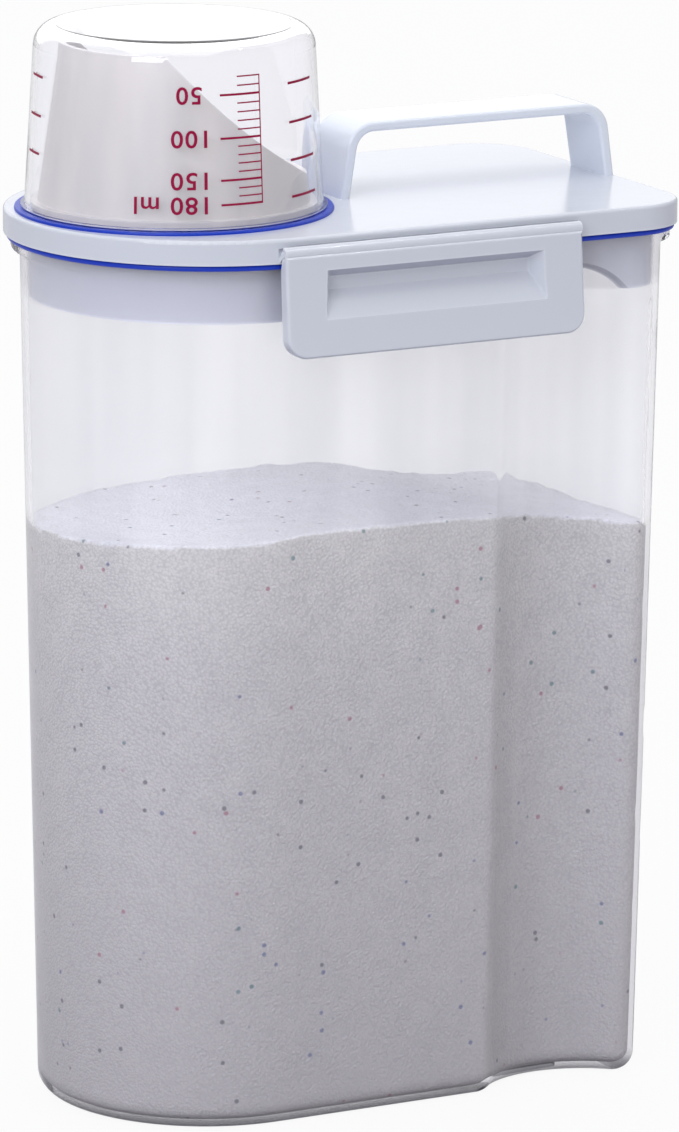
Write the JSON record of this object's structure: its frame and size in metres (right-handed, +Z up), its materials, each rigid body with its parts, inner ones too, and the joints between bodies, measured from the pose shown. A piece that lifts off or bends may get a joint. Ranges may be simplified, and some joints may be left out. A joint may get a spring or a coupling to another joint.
{
  "type": "detergent dispenser",
  "caption": "Tall translucent washing powder dispenser with hollowed hand grips, a latched lid, a strap handle, a scoop spout and a clear measuring cup as its cap.",
  "frame": {"origin": "centre of the footprint, on the surface the container stands on", "axes": "+Z up, +X towards the handle end, -Y towards the front latch"},
  "size_m": [0.1774, 0.1218, 0.297],
  "materials": {
    "clear_body": "translucent moulded polypropylene, slightly hazy",
    "powder": "fine off-white granules with sparse coloured specks",
    "white_plastic": "glossy cool white polypropylene",
    "blue_seal": "smooth blue silicone",
    "spout_plastic": "satin pale grey polypropylene",
    "clear_cup": "crystal clear polystyrene with a crimson printed scale"
  },
  "bodies": {
    "body": {"container": "clear_body", "washing_powder": "powder", "lid": "white_plastic", "lid_gasket": "blue_seal", "handle": "white_plastic", "spout": "spout_plastic", "cup_seal_ring": "blue_seal"},
    "cup": {"measuring_cup": "clear_cup"},
    "latch_front": {"front_latch": "white_plastic"},
    "latch_rear": {"rear_latch": "white_plastic"}
  },
  "joints": [
    {"name": "front_latch_hinge", "type": "hinge", "parent": "body", "child": "latch_front", "pos_m": [0.0048, -0.0564, 0.2428], "axis": [-1, 0, 0], "range_deg": [0, 105]},
    {"name": "rear_latch_hinge", "type": "hinge", "parent": "body", "child": "latch_rear", "pos_m": [0.0048, 0.0564, 0.2428], "axis": [1, 0, 0], "range_deg": [0, 105]},
    {"name": "cup_lift", "type": "slide", "parent": "body", "child": "cup", "axis": [0, 0, 1], "range_m": [0, 0.06]}
  ]
}
